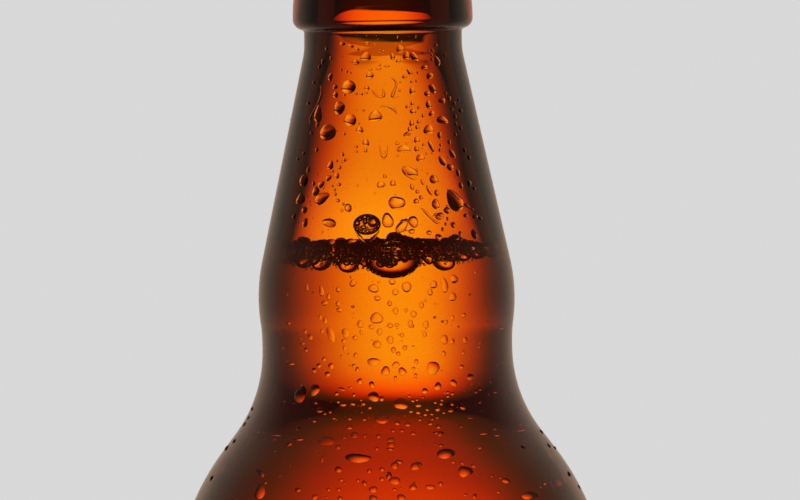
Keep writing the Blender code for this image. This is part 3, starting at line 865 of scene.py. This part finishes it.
DROPS_BESIDE_BEER = (
    (392.5, 281.4, 7, 6, .5), (395.7, 292, 6, 7, 0), (377.8, 298, 7, 5, 0), (390, 303.4, 5, 5, 0),
    (396, 311, 6, 7, 0), (360.6, 323.8, 7), (372, 326.6, 6, 5, 0), (380, 331.7, 6, 7),
    (390.6, 325.6, 6, 5, 0), (390.6, 339.8, 7, 8, 0), (377.5, 344.3, 8), (393.8, 350, 5, 6, 0),
    (346.2, 332.8, 8, 10), (355.5, 337.3, 5), (344, 340.7, 5, 4.4, 0), (361.5, 332, 3, 5, 0),
    (331.2, 333.6, 7, 16, .2, 15), (344.8, 347.6, 3.4, 6, 0), (356, 355, 4.4, 5.4, .2),
    (349, 353.8, 2.6, 2.6, 0), (341.8, 355.7, 3, 3, 0), (374, 362, 13, 8.4, -.1, -8), (386, 371, 9),
    (396.3, 365, 8, 6, 0, 5), (354.2, 365.3, 4), (357.7, 369.2, 4.4, 5), (307.3, 286.2, 3.4, 8, .2),
    (321.7, 290, 5, 10, .3, 12), (328.7, 295.8, 4, 6, .2), (324.6, 302, 7, 5, .2),
    (338.3, 288.8, 4.4, 5, .2), (338.3, 302.8, 4.4, 6, .2), (339.6, 309, 5.4, 5, .2),
    (320.4, 316.2, 3, 6, .2), (325.5, 320, 4, 7, .2), (322.3, 330.2, 3.4, 4.4, .2), (310.5, 336, 5, 6, .2),
    (305.7, 330.2, 3.4, 5, .2), (324.2, 358.3, 4, 4.4, .2), (331.3, 365.3, 6, 6, .2, -10),
    (319.1, 364.8, 5, 5, .2), (314.3, 369.3, 5, 5, .2), (327.7, 373.4, 6, 5, .2), (306.4, 348.7, 4, 4.4, .2),
    (434.2, 285, 7, 8), (430.6, 292.6, 5.4, 6.4), (445, 285.8, 7, 15, .1, 12), (454.6, 279.8, 8),
    (453.2, 297.7, 8, 8, .2), (422, 305.3, 5, 6.4), (426, 300.9, 2.6, 3, 0), (414, 314.3, 6, 7),
    (410.8, 323.4, 5.4, 6.4, 0), (426.4, 325, 6, 8), (425.2, 334.7, 4.4, 5.4), (406.4, 310.4, 3.4, 4.4, 0),
    (397.4, 325, 4.4, 4, 0), (402.5, 335.3, 4.4, 4.4, 0), (405.4, 348, 4.4, 5.4, 0),
    (398.7, 353.8, 4.4, 4.4, 0), (444.8, 340.4, 8, 9), (453, 342.3, 5.4), (446.5, 323, 4.4),
    (453, 318.7, 4, 5.4), (464.4, 316.2, 4.4, 5), (465.7, 341, 4.4, 7), (444.3, 354.4, 4.4, 5.4),
    (463.8, 353.8, 3, 4.4), (433.6, 368.5, 12, 14, .2, 10), (402.8, 371.7, 8), (416.9, 362.1, 4.4, 5),
    (414, 368.9, 3.4, 3.4, 0), (462.5, 368, 5, 4.4), (416.2, 375.5, 3.4, 3.4, 0), (360, 381, 5.4, 6),
    (372.2, 384.4, 5, 7.4, .1, 20), (396, 377.8, 3.4, 3.4, 0), (300.5, 393, 11, 18, .3),
    (314.9, 389, 9, 12, .2), (374, 396.4, 11, 10), (382, 398.6, 5.4, 5), (401.5, 404, 13, 12),
    (337, 393, 4, 4.4), (354.2, 394.2, 3.4, 4), (342, 388.4, 7, 3, .1, -20), (338.6, 401, 3.4),
    (343.5, 403.6, 6.4, 5), (353, 402.8, 5.4, 5), (363.8, 403.2, 4.4), (370.3, 407, 4.4),
    (361.5, 399.6, 2.6, 2.6, 0), (319.8, 409.2, 6.4, 5.4), (325.2, 412.6, 3.4), (330.5, 411, 3.4),
    (334.3, 417.4, 3.4), (350, 417.6, 4.4), (364.6, 418.6, 4), (314.8, 419.6, 4.4), (298.4, 427, 4.4),
    (316, 401.6, 3.4, 3.4, 0), (382.5, 418.6, 14, 10, .1, -10), (397.8, 423, 5.4, 5), (350, 426.6, 6.4, 5),
    (355, 434.6, 7.4, 6, .1, -20), (379, 436, 5.4, 4.4), (393.6, 430.8, 4.4, 3.4),
    (326.8, 440, 16, 10, .1, -5), (391.7, 444.6, 8, 6), (338.6, 446.6, 6, 5), (365.3, 435.6, 3.4, 3.4, 0),
    (438.6, 387, 7, 8), (425.6, 391.4, 5.4, 6), (471.2, 378, 7, 6, .2), (454.4, 383.8, 5, 9, .1, 48),
    (410, 396.2, 3, 3, 0), (413.4, 401, 3.4, 3.4, 0), (417.6, 400.2, 2.6, 2.6, 0),
    (419, 405.6, 6.4, 4.4, 0, 10), (411.5, 411.6, 4.4, 3.4, 0), (418.7, 412.6, 5.4, 4.4, 0),
    (427.9, 410, 3.4, 3.4, 0), (426, 414.8, 4, 4, 0), (436, 403.2, 3, 3, 0), (441.8, 404.6, 3.4, 3.4, 0),
    (442.6, 400.8, 3, 3, 0), (438.3, 409.6, 5.4, 5, 0), (432.5, 414.6, 3.4, 3.4, 0),
    (437.9, 417.8, 3.4, 3.4, 0), (432.9, 419.6, 3, 3, 0), (420.3, 420, 3.4, 3.4, 0),
    (431, 423.8, 5.4, 4.4, 0), (408.4, 424.6, 6.4, 4.4, 0), (439, 427.2, 5, 4.4, 0),
    (440.5, 435, 5.4, 4.4, 0), (413.8, 433.8, 5.4, 4, 0), (402.7, 430.8, 4.4, 3.4, 0),
    (448.6, 393.2, 3, 3, 0), (448.6, 397.2, 3, 3, 0), (453.2, 394.6, 3.4, 3.4, 0), (452.8, 405, 3.4, 3.4, 0),
    (451.3, 411.2, 5.4, 4.4, 0), (444.4, 413.4, 3, 3, 0), (463.1, 408, 5, 7, 0, 50),
    (476.5, 393, 3.4, 3.4, 0), (480.7, 390.4, 3.4, 3.4, 0), (480.3, 403.4, 3.4, 3.4, 0),
    (469.6, 418.6, 3, 3, 0), (461.6, 427, 3.4, 3.4, 0), (395.4, 465.7, 8), (415.8, 467, 9),
    (369.8, 470.8, 5), (382.6, 469.5, 5), (395.4, 481, 11, 9), (382.6, 479.2, 5), (373.7, 489.4, 8, 7),
    (413.7, 487.9, 7), (431, 487.9, 10, 5), (441.3, 484.8, 5), (341.8, 479.7, 4), (358.4, 480.2, 4),
    (329, 489, 4), (339.2, 489, 4), (315, 496.3, 6), (340.5, 498.3, 5), (373.7, 498.8, 8), (401.7, 498.3, 8),
    (463, 464.4, 4), (474.4, 467.4, 5), (501, 479.7, 4), (290.8, 464.4, 4), (280.6, 474.6, 4),
    (322.7, 458, 4, 8), (391.5, 440.2, 7, 6), (377.5, 448.6, 4), (454, 463, 4), (227, 446, 4, 7),
    (234.6, 439, 4, 6), (244.8, 422.3, 4, 6), (248.7, 416, 4, 5), (252.5, 407, 4, 5), (211.7, 476, 4, 7),
    (542, 434, 4, 6), (549.7, 448, 4, 6), (557.3, 450.4, 4, 5), (524, 449, 4, 5), (570, 477, 4, 7),
    (580, 490, 4, 6),
)
# Drops that have spread flat with a steep rim.
FLAT_DROPS = (
    (388, 220.3, 11, 16), (397, 202.7, 16, 14, .3, 10), (413.6, 221.8, 9.5, 12, .2, -8),
    (402.6, 226, 9, 17, .2, -35), (412, 231.4, 6, 5.4), (429.4, 233, 5), (439, 237.6, 7, 6.4),
    (377, 318, 12), (374, 288, 10, 9), (407, 287, 9, 11), (353, 282.6, 6, 7),
)
# Where a drop has run, as paths on the sight grid.
TRAILS = (
    ((320.4, 84.6), (321.4, 95.4), (316, 105.6), (311.2, 116.4), (311.5, 122.2)),
    ((421, 208), (427, 213), (431.5, 219), (436, 222), (441, 223.8)),
    ((402, 168), (406, 174), (411, 177.5), (417, 179)),
    ((464, 204), (468.5, 207.5), (474.5, 211)),
    ((372, 89), (377, 95), (383, 98), (383.5, 93), (382.5, 88)),
    ((391, 77.5), (396, 82), (396.5, 88), (392, 93), (394, 97), (399, 96.5)),
    ((380, 107), (388, 106), (395, 110), (396, 114.5)),
    ((380, 145), (381.5, 152), (384, 158), (386.5, 152), (388, 146)),
    ((355, 229), (360, 236), (366, 242)), ((380, 230), (375, 236.5), (369.5, 241.5)),
    ((400, 221.5), (403.5, 221), (408, 221.5)), ((434, 216.5), (438, 214.6), (443, 217.5)),
)
LARGE = 0.85                   # the smaller side of a drop that gets a finer grid
# Seeded drops: places tried, least and most size, how fast larger ones get rarer, the room each takes as a
# share of its size, and the share kept in front, where drops are set one by one.
MIDDLING = (5200, 0.45, 2.4, 1.9, 1.15, 0.0)
FINE = (12000, 0.13, 0.42, 1.6, 1.1, 0.35)
WIDEST = 35.0                  # the radius at which every try is kept, a little over the bottle's own
DRY_FOOT = 12.0                # the last stretch down the glass, without drops
SIDE = -0.2                    # the cosine of the turn from the front where the back begins
# Behind the neck and shoulder: the share of drops kept, the neck's length down its side, and the largest drop
# on the neck and under it.
BEHIND = (0.5, 34.0, 0.9, 0.5)


def trails(paths, stations=26, columns=10):
    """Thin streaks of water along paths on the glass, each path a polynomial through its places.

    The cross-section at t along a path is half width times e(t) times cos q across, and a share of that times
    the positive part of sin q outwards, with e(t) the square root of sin(pi t) times a slow wave.
    """
    half_width, share = STREAK
    q = np.linspace(0, 2 * pi, columns, endpoint=False)[None, :]
    t = np.linspace(0, 1, stations)
    all_points = []
    for path in paths:
        x, y = np.array(path, float).T
        turn, down, _ = OUTER_SKIN.seen_at(x, y)
        knots, order = np.linspace(0, 1, len(path)), min(3, len(path) - 1)
        turn, down = (np.polynomial.Polynomial.fit(knots, v, order)(t) for v in (turn, down))
        radius = OUTER_SKIN.radius(down)
        along = np.stack([np.gradient(turn) * radius, np.gradient(down)], 1)
        along /= np.linalg.norm(along, axis=1)[:, None]
        swell = (np.sqrt(np.sin(pi * np.clip(t, 0.004, 0.996))) * (1 + 0.25 * np.sin(9 * t + x[0])))[:, None]
        side = half_width * swell * np.cos(q)
        out = np.maximum(np.sin(q), 0) * half_width * share * swell - SINK
        rows_turn = turn[:, None] - side * along[:, 1:] / radius[:, None]
        rows = OUTER_SKIN.at(rows_turn, down[:, None] + side * along[:, :1], out).reshape(-1, 3)
        ends = OUTER_SKIN.at(turn[[0, -1]], down[[0, -1]], np.full(2, -SINK))
        all_points.append(np.concatenate([rows, ends]))
    faces = repeated(*closed_grid(stations, columns), stations * columns + 2, len(paths))
    return np.concatenate(all_points), faces


def drops(turn, down, wide, tall, lean, low, rng, rows, columns, bulk=(0.40, 0.50), flat=2):
    """Drops of water as closed patches on the glass: points, faces and the points of their sharp rims.

    With p from 0 in the middle to 1 at the rim and q round it, a point lies at half width times p cos q and
    half height times p sin q, both times 1 + a little cos 2q and cos 3q, narrowed upwards and turned by the
    lean. It stands off by bulk times the smaller half size times (1 - p to the power flat)(1 + c p squared)
    (1 + low p sin q). The underside is flat and lies just inside the glass.
    """
    count = len(turn)
    p = np.sin(np.linspace(0, pi / 2, rows + 1)[1:])[None, :, None]
    q = np.linspace(0, 2 * pi, columns, endpoint=False)[None, None, :]
    phase_2, phase_3, _ = rng.uniform(0, 2 * pi, (3, count, 1, 1))
    size = np.minimum(wide, tall)[:, None, None] / 2
    ripple = np.cos(2 * q + phase_2) + 0.8 * np.cos(3 * q + phase_3)
    uneven = 1 + np.minimum(0.05 + 0.03 * size, 0.075) * ripple
    wide, tall, lean, low = (np.asarray(v, float)[:, None, None] for v in (wide, tall, lean, low))
    side = wide / 2 * p * np.cos(q) * uneven * (1 + 0.35 * low * p * np.sin(q))
    fall = tall / 2 * p * np.sin(q) * uneven
    c, s = np.cos(np.radians(lean)), np.sin(np.radians(lean))
    across, along = side * c + fall * s, fall * c - side * s
    thick = rng.uniform(*bulk, (count, 1, 1)) * size
    out = thick * (1 - p ** flat) * (1 + ROUND_CONTACT * p ** 2) * (1 + low * p * np.sin(q)) - SINK
    middle_r = OUTER_SKIN.radius(down)[:, None, None]
    top = OUTER_SKIN.at(turn[:, None, None] + across / middle_r, down[:, None, None] + along, out)
    crest = OUTER_SKIN.at(turn, down, thick[:, 0, 0] - SINK)[:, None]
    under = OUTER_SKIN.at(turn, down, np.full(count, -SINK))[:, None]
    points = np.concatenate([top.reshape(count, -1, 3), crest, under], 1)
    corners = rows * columns + 2
    crease = np.zeros(corners, bool)
    crease[-columns - 2:-2] = True
    faces = repeated(*closed_grid(rows, columns, True), corners, count)
    return points.reshape(-1, 3), faces, np.tile(crease, count)


def set_drops(table, hang):
    """Turn, arc length down, width, height, lean and hang of a table's drops, its short rows filled up."""
    rows = [row + (row[2], hang, 0)[len(row) - 3:] for row in table]
    x, y, wide, tall, low, lean = np.array(rows, float).T
    turn, down, square = OUTER_SKIN.seen_at(x, y)
    return turn, down, wide / SIGHT / np.maximum(square, 0.5), tall / SIGHT, lean, low


def scattered(kind, taken, rng):
    """Places for drops anywhere on the glass, none on another: turn, arc length down and size.

    A size is least times (1 - u) to the power (-1 / steep), so larger ones are rarer. The tries are thinned
    to the same number for each area, in front to their share, and behind the neck to fewer and smaller ones.
    The largest are laid first, each with its room.
    """
    tries, least, most, steep, room, front_share = kind
    down = rng.uniform(1.0, OUTER_SKIN.length[-1] - DRY_FOOT, tries)
    radius = OUTER_SKIN.radius(down)
    turn = rng.uniform(-pi, pi, tries)
    size = least * (1 - rng.uniform(0, 1 - (least / most) ** steep, tries)) ** (-1 / steep)
    upper = down < OUTER_SKIN.seen_at(SIGHT_AXIS, SIGHT_FOOT)[1]
    facing = np.cos(turn - FRONT)
    kept = rng.uniform(0, 1, tries) < radius / WIDEST
    kept &= (rng.uniform(0, 1, tries) < front_share) | ~((facing > SIDE) & upper)
    share, neck_length, neck_most, lower_most = BEHIND
    behind = (facing < SIDE) & upper
    fit = (rng.uniform(0, 1, tries) < share) & (size < np.where(down < neck_length, neck_most, lower_most))
    kept &= ~behind | fit
    order = np.argsort(-size)
    order = order[kept[order]]
    known = np.zeros((len(taken) + len(order), 3))
    known[:len(taken)] = taken
    filled = len(taken)
    for k in order:
        around = np.abs(turn[k] - known[:filled, 0])
        around = np.minimum(around, 2 * pi - around) * radius[k]
        near = np.hypot(around, down[k] - known[:filled, 1]) < (size[k] + known[:filled, 2]) / 2 * room + 0.05
        if not near.any():
            known[filled] = turn[k], down[k], size[k]
            filled += 1
    return known[:filled]


def condensation():
    """The drops that are set one by one in front, then seeded ones of two sizes wherever there is room."""
    rng = np.random.default_rng(SEED + 2)
    water = clear_material("water", WATER_IOR)

    def lay(name, places, *how, **more):
        points, faces, crease = drops(*places, rng, *how, **more)
        piece(name, points, faces, water, crease=crease)

    lay("flat_drops", set_drops(FLAT_DROPS, HANG_BESIDE_BEER), 9, 26, bulk=(0.36, 0.42), flat=3)
    piece("trails", *trails(TRAILS), water)
    over, beside = set_drops(DROPS_OVER_BEER, HANG_OVER_BEER), set_drops(DROPS_BESIDE_BEER, HANG_BESIDE_BEER)
    placed = np.concatenate([over, beside], 1)
    turn, down, wide, tall = placed[:4]
    large = np.minimum(wide, tall) > LARGE
    lay("large_drops", placed[:, large], 9, 28, bulk=(0.42, 0.52))
    lay("near_drops", placed[:, ~large], 6, 14, bulk=(0.55, 0.68))
    taken = np.stack([swing_of(turn, 0), down, np.maximum(wide, tall)], 1)
    middling = scattered(MIDDLING, taken, rng)[len(taken):]
    taken = np.concatenate([taken, middling])
    fine = scattered(FINE, taken, rng)[len(taken):]
    low = middling[:, 1] > np.median(middling[:, 1])
    for name, some, rows, columns in (("drops_around_upper", middling[~low], 4, 11),
                                      ("drops_around_lower", middling[low], 4, 11), ("fine_dew", fine, 2, 6)):
        turn, down, size = some.T
        stretch = rng.uniform(0.85, 1.35, len(some))
        lean, hang = rng.normal(0, 14, len(some)), rng.uniform(0, 0.4, len(some))
        lay(name, (turn, down, size / stretch, size * stretch ** 0.5, lean, hang), rows, columns)


condensation()


# ---------------------------------------------------------------- surroundings

BACKGROUND = (0.69, 0.69, 0.69, 1.0)
FLOOR_HALF = 5000.0
RAYS = ("camera", "diffuse", "glossy", "transmission", "shadow")
MAZE = (9.5, 15.0, 1.0, 0.12)  # light left to a ray that has crossed so many surfaces, as in froth


def stand(name, corners, made_of, seen_by):
    """A flat part of the studio, seen only by the named kinds of ray."""
    mesh = bpy.data.meshes.new(name)
    mesh.from_pydata([Vector(c) * MM for c in corners], [], [(0, 1, 2, 3)])
    mesh.materials.append(made_of)
    obj = bpy.data.objects.new(name, mesh)
    bpy.context.collection.objects.link(obj)
    for ray in RAYS:
        setattr(obj, "visible_" + ray, ray in seen_by)


def floor():
    """As pale as the background."""
    made, tree = blank("pale floor")
    shader = put(tree, "ShaderNodeBsdfDiffuse", Color=BACKGROUND)
    put(tree, "ShaderNodeOutputMaterial", Surface=shader.outputs[0])
    f = FLOOR_HALF
    stand("floor", [(-f, -f, 0), (f, -f, 0), (f, f, 0), (-f, f, 0)], made, ("camera", "diffuse"))


def light_left(tree, path):
    """The share of light left to a ray by the number of clear surfaces it has crossed."""
    return eased(tree, path["Transmission Depth"], *MAZE)


def straight_on(tree, path):
    """1 for a ray that wasn't mirrored on its way, else 0."""
    return sums(tree, "LESS_THAN", path["Glossy Depth"], 0.5)


# The glow behind the bottle, in millimetres. A pair of heights is where a smooth step begins and ends.
CARD_BEHIND = 120.0            # from the bottle's axis
CARD_HALF_WIDTH = 100.0
CARD_TOP = 300.0
# For red, and for green and blue: the glow's share left in the dimmer zone, the heights it grows between, its
# share beside the neck, the bright middle's strength, spread and power, and the surroundings' strength at the
# foot and at most, and their spread.
GLOW_RED = (0.42, (88.0, 132.0), 0.83, (1.09, 30.0, 2.4), (0.09, 0.19, 50.0))
GLOW_GREEN = (0.64, (103.0, 170.0), 0.63, (1.28, 18.5, 2.2), (0.09, 0.32, 40.0))
GLOW_MIDDLE = (-4.0, 1.0)      # its middle across, below and beside the neck
GLOW_NARROW = (95.0, 170.0, 0.60, 1.0)    # how wide the middle is at its foot and further up
GLOW_NECK = (186.0, 203.0)     # where the neck's share, middle and width set in
GLOW_OVER_NECK = (222.0, 230.0)           # where the neck's share ends
GLOW_WIDE = (1.22, 1.95)       # how wide the glow is at the neck and at the carrying ring
GLOW_RING = (228.0, 236.0)     # where it widens from the one to the other
GLOW_FLARE = (0.75, 195.0, 9.0)           # wider by this share, at this height, over this reach
GLOW_TOP = (276.0, 288.0)      # where the glow ends upwards
# The dark stripe over the neck: the share it takes, where it begins and ends upwards, its upper edge's bow,
# and between which distances from the middle, and how far, its lower edge steps up sideways.
DARK_SHARE = 0.97
DARK_FROM = (220.9, 223.0)
DARK_TO = (230.9, 233.6)
DARK_BOW = 0.0050
DARK_STEP = (30.0, 50.0, 0.0, 4.5)
DIM_FROM = (217.3, 218.3)      # where the dimmer zone under the stripe begins
DIM_BOW = 0.0042


def bell(tree, distance, height, spread, power=2.0):
    """height times exp(-(distance / spread) to the power)."""
    ratio = sums(tree, "ABSOLUTE", sums(tree, "DIVIDE", distance, spread))
    return times(tree, sums(tree, "EXPONENT", times(tree, sums(tree, "POWER", ratio, power), -1.0)), height)


def glow_card():
    """The light that comes through the bottle: a soft upright glow on a black card close behind it.

    A colour's strength is the sum of two bells across, a narrow one and a wide one, which grow upwards by
    smooth steps and whose width depends on the height. It is multiplied by the share beside the neck and by
    what the dark stripe and the dimmer zone under it leave. Their edges bow with the square of the place
    across.
    """
    made, tree = blank("glow card")
    place = put(tree, "ShaderNodeSeparateXYZ", Vector=put(tree, "ShaderNodeTexCoord").outputs["Object"])
    up = times(tree, place.outputs[2], 1 / MM)
    across = minus(tree, times(tree, place.outputs[0], 1 / MM), eased(tree, up, *GLOW_NECK, *GLOW_MIDDLE))
    share, height, reach = GLOW_FLARE
    at_neck, at_ring = GLOW_WIDE
    width = sums(tree, "ADD", eased(tree, up, *GLOW_NECK, 1.0, at_neck),
                 bell(tree, minus(tree, up, height), share, reach))
    width = sums(tree, "ADD", width, eased(tree, up, *GLOW_RING, 0.0, at_ring - at_neck))
    wide = sums(tree, "DIVIDE", across, width)
    slim = sums(tree, "DIVIDE", wide, eased(tree, up, *GLOW_NARROW))
    square = times(tree, across, across)
    stepped = minus(tree, up, eased(tree, sums(tree, "ABSOLUTE", across), *DARK_STEP))
    dark = eased(tree, stepped, *DARK_FROM, 0.0, DARK_SHARE)
    under_top = eased(tree, minus(tree, up, times(tree, square, DARK_BOW)), *DARK_TO, 1.0, 0.0)
    bowed = minus(tree, up, times(tree, square, DIM_BOW))
    top = eased(tree, up, *GLOW_TOP, 1.0, 0.0)
    channels = []
    for dim, grows, neck, (most, spread, power), (foot, around, reach) in (GLOW_RED, GLOW_GREEN):
        stripe = times(tree, sums(tree, "MAXIMUM", dark, eased(tree, bowed, *DIM_FROM, 0.0, dim)), under_top)
        middle = times(tree, bell(tree, slim, most, spread, power), eased(tree, up, *grows))
        rest = times(tree, bell(tree, wide, 1.0, reach), eased(tree, up, *grows, foot, around))
        beside_neck = sums(tree, "MAXIMUM", eased(tree, up, *GLOW_NECK, 1.0, neck),
                           eased(tree, up, *GLOW_OVER_NECK, neck, 1.0))
        both = times(tree, sums(tree, "ADD", middle, rest), beside_neck)
        channels.append(times(tree, both, times(tree, top, minus(tree, 1.0, stripe))))
    colour = put(tree, "ShaderNodeCombineXYZ", i0=channels[0], i1=channels[1], i2=channels[1])
    path = put(tree, "ShaderNodeLightPath").outputs
    shader = put(tree, "ShaderNodeEmission", Color=colour.outputs[0],
                 Strength=times(tree, straight_on(tree, path), light_left(tree, path)))
    put(tree, "ShaderNodeOutputMaterial", Surface=shader.outputs[0])
    made.cycles.emission_sampling = "NONE"
    w, y = CARD_HALF_WIDTH, CARD_BEHIND
    stand("glow_card", [(-w, y, 0), (w, y, 0), (w, y, CARD_TOP), (-w, y, CARD_TOP)], made, ("transmission",))


# The world, by the direction it is looked at in: y is away from the front, z is up. Four numbers are where a
# smooth step begins and ends, and its value before and after.
THROUGH_BACK = (0.6, -0.1, 0.03, 0.6)     # seen through the glass, by y
MIRRORED_INSIDE = (0.028, 0.028, 0.028, 1.0)    # for a ray that was mirrored inside the glass or the beer
FRONT_LIGHT = (-1.0, 0.1, 0.04, 0.21)     # mirrored by the surface, by y
FRONT_LIGHT_UP = (0.1, 0.45, 1.0, 0.7)    # and by z
FRONT_TINT = (0.97, 0.69, 0.54)
RIM_LIGHT = (0.1, 0.9)         # the light from behind that is mirrored along the bottle's edges, by y
RIM_TINT = (0.31, 0.235, 0.175)


def world():
    """Pale to the eye and the floor; through glass, dim behind and fair elsewhere; mirrored, dark in front.

    What the surface mirrors is the rim's tint times a step towards the back, plus the front's tint times one
    towards the back and one upwards.
    """
    made = bpy.data.worlds.new("studio")
    bpy.context.scene.world = made
    made.use_nodes = True
    tree = made.node_tree
    tree.nodes.clear()
    path = put(tree, "ShaderNodeLightPath").outputs
    way = put(tree, "ShaderNodeSeparateXYZ", Vector=put(tree, "ShaderNodeTexCoord").outputs["Generated"])
    _, y, z = way.outputs
    through = times(tree, eased(tree, y, *THROUGH_BACK), light_left(tree, path))
    front = times(tree, eased(tree, y, *FRONT_LIGHT), eased(tree, z, *FRONT_LIGHT_UP))
    tinted = put(tree, "ShaderNodeVectorMath", operation="SCALE", i0=FRONT_TINT, Scale=front)
    mirror = put(tree, "ShaderNodeVectorMath", operation="MULTIPLY_ADD", i0=RIM_TINT,
                 i1=eased(tree, y, *RIM_LIGHT), i2=tinted.outputs[0])
    light = choose(tree, straight_on(tree, path), MIRRORED_INSIDE, through)
    light = choose(tree, path["Is Transmission Ray"], mirror.outputs[0], light)
    light = choose(tree, path["Is Diffuse Ray"], light, (1.0, 1.0, 1.0, 1.0))
    light = choose(tree, path["Is Camera Ray"], light, BACKGROUND)
    shader = put(tree, "ShaderNodeBackground", Color=light, Strength=1.0)
    put(tree, "ShaderNodeOutputWorld", Surface=shader.outputs[0])
    made.cycles.sampling_method = "NONE"


CAMERA_SEES = 127.25           # across, at the distance of the bottle's axis
CAMERA_ASIDE = 2.23            # its aim to the right of the axis, and below the carrying ring's underside
CAMERA_BELOW_RING = 35.15
CAMERA_ROLL = radians(-0.8)
SENSOR_WIDTH = 36.0


def camera():
    """At the neck's height, looking slightly down, rolled a little, from far off with a long lens."""
    distance = SIGHT_DISTANCE * MM
    look_at = Vector((CAMERA_ASIDE * MM, 0.0, (RING_UNDERSIDE - CAMERA_BELOW_RING) * MM))
    data = bpy.data.cameras.new("camera")
    data.sensor_width = SENSOR_WIDTH
    data.lens = SENSOR_WIDTH * distance / (CAMERA_SEES * MM)
    data.clip_start = 0.01
    obj = bpy.data.objects.new("camera", data)
    bpy.context.collection.objects.link(obj)
    back = Vector((0.0, -cos(LOOK_DOWN), sin(LOOK_DOWN)))
    turn = (-back).to_track_quat("-Z", "Y").to_matrix() @ Matrix.Rotation(CAMERA_ROLL, 3, "Z")
    obj.matrix_world = Matrix.Translation(look_at + back * distance) @ turn.to_4x4()
    bpy.context.scene.camera = obj


floor()
glow_card()
world()
camera()
scene = bpy.context.scene
scene.view_settings.view_transform = "Standard"
scene.cycles.max_bounces = 40
scene.cycles.transmission_bounces = 40
scene.cycles.glossy_bounces = 12
